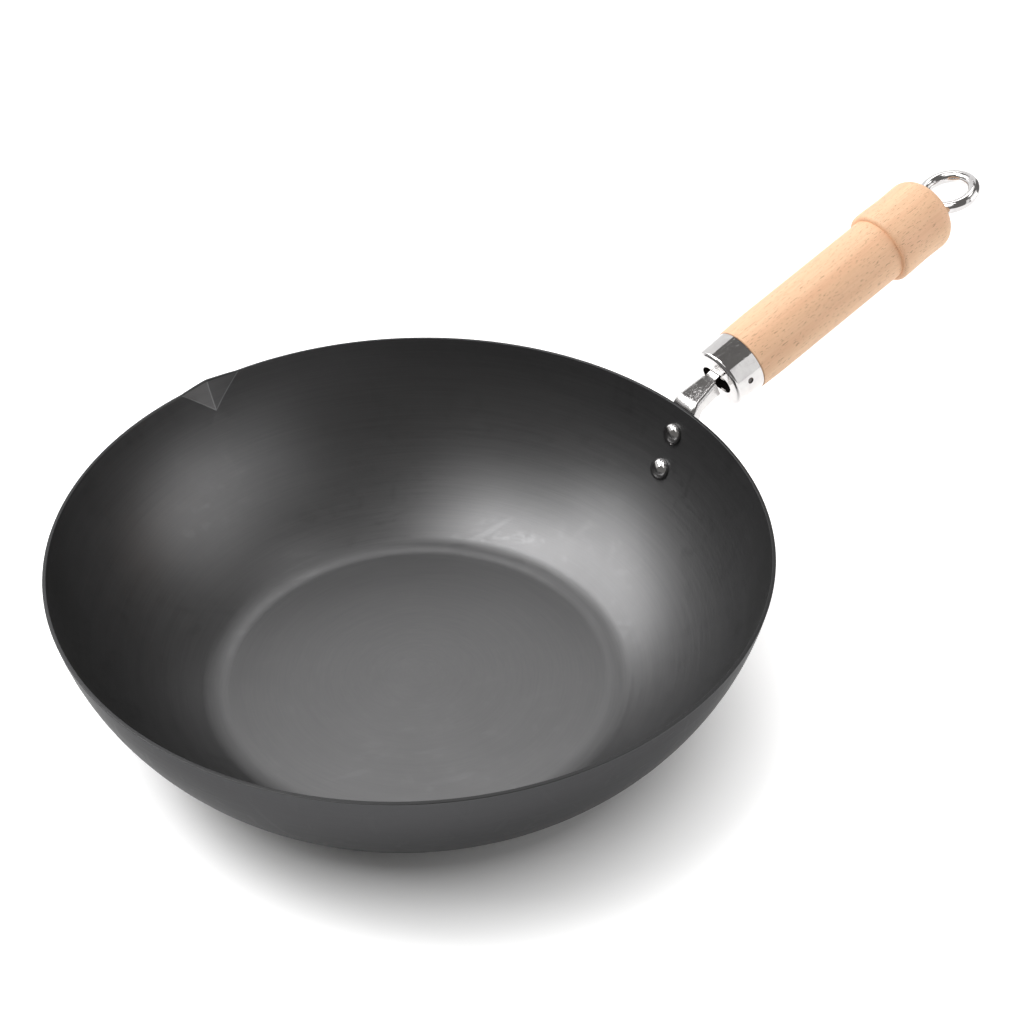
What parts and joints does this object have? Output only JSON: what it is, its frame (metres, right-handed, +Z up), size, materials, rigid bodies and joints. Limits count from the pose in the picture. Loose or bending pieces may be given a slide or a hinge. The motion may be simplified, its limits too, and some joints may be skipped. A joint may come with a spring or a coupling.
{
  "type": "deep frying pan",
  "caption": "Deep iron frying pan with a pinched pouring spout, a riveted folded steel bracket, a turned wooden grip with a steel ferrule, and a hanging eye that unscrews.",
  "frame": {"origin": "centre of the flat base, on the surface that the pan stands on", "axes": "+X from the middle of the pan towards its handle, +Y towards the pouring spout, +Z up out of the open bowl"},
  "size_m": [0.4811, 0.3018, 0.147],
  "materials": {
    "nitrided_iron": "dark grey nitrided iron sheet, satin, with faint turned rings",
    "plated_steel": "bright nickel-plated steel",
    "rod_steel": "bare drawn steel",
    "dark_steel": "dark blued steel",
    "beech": "oiled beech, turned and sanded"
  },
  "bodies": {
    "pan": {"pan_body": "nitrided_iron", "handle_bracket": "plated_steel", "rivet_upper": "plated_steel", "rivet_lower": "plated_steel", "core_rod": "rod_steel", "ferrule": "plated_steel", "ferrule_brad": "dark_steel", "grip": "beech"},
    "washer": {"washer": "plated_steel"},
    "eye_nut": {"eye_nut": "plated_steel"}
  },
  "joints": [
    {"name": "washer_slide", "type": "slide", "parent": "pan", "child": "washer", "axis": [0.9494, 0, 0.314], "range_m": [0, 0.004]},
    {"name": "eye_nut_turn", "type": "hinge", "parent": "washer", "child": "eye_nut", "pos_m": [0.31681, 0, 0.13597], "axis": [0.9494, 0, 0.314], "range_deg": [0, 1440]}
  ],
  "couplings": [
    {"joint": "eye_nut_turn", "follows": "washer_slide", "rad_per_m": 6283.2}
  ]
}
